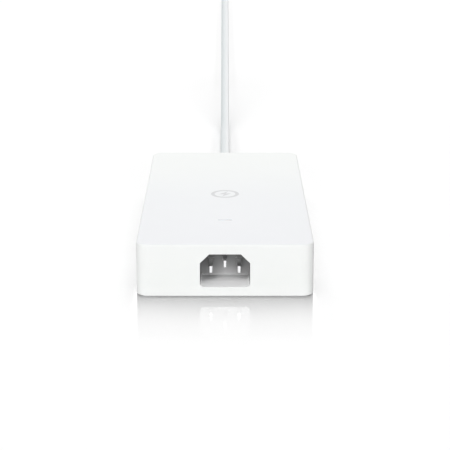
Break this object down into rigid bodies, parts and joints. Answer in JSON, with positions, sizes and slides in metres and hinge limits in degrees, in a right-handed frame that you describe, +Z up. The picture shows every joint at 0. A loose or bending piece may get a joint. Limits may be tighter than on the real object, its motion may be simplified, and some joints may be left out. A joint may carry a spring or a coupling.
{
  "type": "poe injector",
  "caption": "Slim white in-line power-over-network injector with a mains appliance inlet, a rear data jack and a captive output lead.",
  "frame": {"origin": "centre of the casing's footprint, on the table plane under the feet", "axes": "+Z up, -Y towards the mains inlet, +Y along the output lead, +X to the right seen from the inlet side"},
  "size_m": [0.087, 0.5731, 0.0956],
  "materials": {
    "casing_plastic": "fine satin white moulding",
    "cover_plastic": "white moulding, light grain",
    "foot_rubber": "soft pale grey pad",
    "screw_steel": "zinc plated",
    "mark_ink": "pale grey flush inlay",
    "lens_plastic": "frosted light guide",
    "led_epoxy": "clear epoxy",
    "inlet_plastic": "satin grey moulding",
    "pin_plate": "nickel plate",
    "wire_sleeve": "coloured sleeve",
    "board_laminate": "solder mask",
    "fuse_ceramic": "ceramic tube with plated caps",
    "disc_lacquer": "dipped lacquer",
    "ferrite": "sintered ferrite",
    "copper_wire": "enamelled copper",
    "film_box": "filled box",
    "black_epoxy": "moulded epoxy",
    "can_sleeve": "shrink sleeve",
    "bare_aluminium": "extruded",
    "pad_silicone": "soft pad",
    "winding_tape": "polyester tape",
    "white_moulding": "nylon",
    "sheet_film": "thin film",
    "jack_steel": "tin plated",
    "black_moulding": "satin",
    "contact_gold": "gold flash",
    "lead_jacket": "smooth flexible jacket",
    "boot_rubber": "smooth flexible moulding",
    "plug_clear": "clear polycarbonate"
  },
  "bodies": {
    "housing": {"upper_shell": "casing_plastic", "bottom_cover": "cover_plastic", "rubber_feet": "foot_rubber", "cover_screws": "screw_steel", "top_mark": "mark_ink", "status_light_lens": "lens_plastic", "status_led": "led_epoxy", "inlet_housing": "inlet_plastic", "line_pin": "pin_plate", "neutral_pin": "pin_plate", "earth_pin": "pin_plate", "inlet_wires": "wire_sleeve", "main_board": "board_laminate", "board_screws": "screw_steel", "fuse": "fuse_ceramic", "varistor": "disc_lacquer", "choke_core": "ferrite", "choke_windings": "copper_wire", "x_capacitor": "film_box", "bridge_rectifier": "black_epoxy", "bulk_capacitors": "can_sleeve", "power_transistor": "black_epoxy", "primary_heatsink": "bare_aluminium", "thermal_pad": "pad_silicone", "pwm_controller": "black_epoxy", "transformer_core": "ferrite", "transformer_bobbin": "black_epoxy", "transformer_winding": "winding_tape", "y_capacitor": "disc_lacquer", "optocoupler": "white_moulding", "secondary_heatsink": "bare_aluminium", "output_rectifier": "black_epoxy", "output_capacitors": "can_sleeve", "output_choke_core": "ferrite", "output_choke_winding": "copper_wire", "poe_controller": "black_epoxy", "data_transformer": "black_epoxy", "insulation_sheet": "sheet_film", "jack_shield": "jack_steel", "jack_insert": "black_moulding", "jack_contacts": "contact_gold", "output_header": "white_moulding", "lead_wires": "wire_sleeve", "lead_entry": "lead_jacket", "lead_boot": "boot_rubber"},
    "near_lead": {"lead_near": "lead_jacket", "pairs_near": "wire_sleeve"},
    "far_lead": {"lead_far": "lead_jacket", "pairs_far": "wire_sleeve", "plug_boot": "boot_rubber", "plug_body": "plug_clear", "plug_contacts": "contact_gold"},
    "latch": {"plug_latch": "plug_clear"}
  },
  "joints": [
    {"name": "lead_swing", "type": "hinge", "parent": "housing", "child": "near_lead", "pos_m": [0, 0.1181, 0.0138], "axis": [0, 0, 1], "range_deg": [-35, 35], "stiffness_Nm_per_rad": 0.05},
    {"name": "lead_lift", "type": "hinge", "parent": "near_lead", "child": "far_lead", "pos_m": [0, 0.2565, 0.003], "axis": [1, 0, 0], "range_deg": [-21, 25], "stiffness_Nm_per_rad": 1},
    {"name": "plug_latch_press", "type": "hinge", "parent": "far_lead", "child": "latch", "pos_m": [0, 0.47655, 0.09403], "axis": [1, 0, 0], "range_deg": [0, 9], "stiffness_Nm_per_rad": 0.02}
  ]
}
